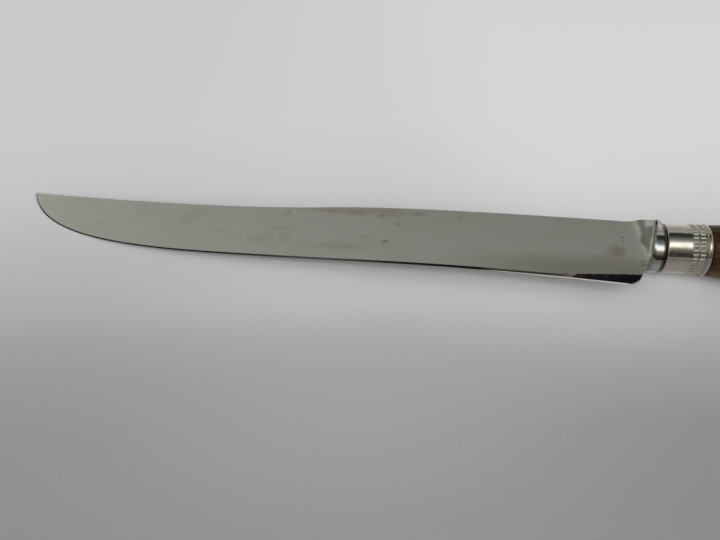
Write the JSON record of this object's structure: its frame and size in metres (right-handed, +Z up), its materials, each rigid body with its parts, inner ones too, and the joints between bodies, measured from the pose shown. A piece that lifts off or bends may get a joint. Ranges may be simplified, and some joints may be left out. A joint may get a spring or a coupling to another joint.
{
  "type": "carving knife",
  "caption": "Carving knife lying on its side, with a long narrow blade, forged round bolster, plated collar with bead rows, and a shaped dark wooden handle.",
  "frame": {"origin": "on the table, under the middle of the knife as it lies on its side", "axes": "+X along the knife from tip to butt, the edge faces -Y, +Z is up from the table"},
  "size_m": [0.3547, 0.0303, 0.023],
  "materials": {
    "steel": "finely ground and worn, polished at the bolster",
    "plated": "polished nickel plate",
    "handle": "dark brown, glossy lacquer",
    "cement": "dull cutler's resin"
  },
  "bodies": {
    "root": {"blade": "steel", "ferrule": "plated", "handle": "handle", "tang_cement": "cement"}
  },
  "joints": []
}
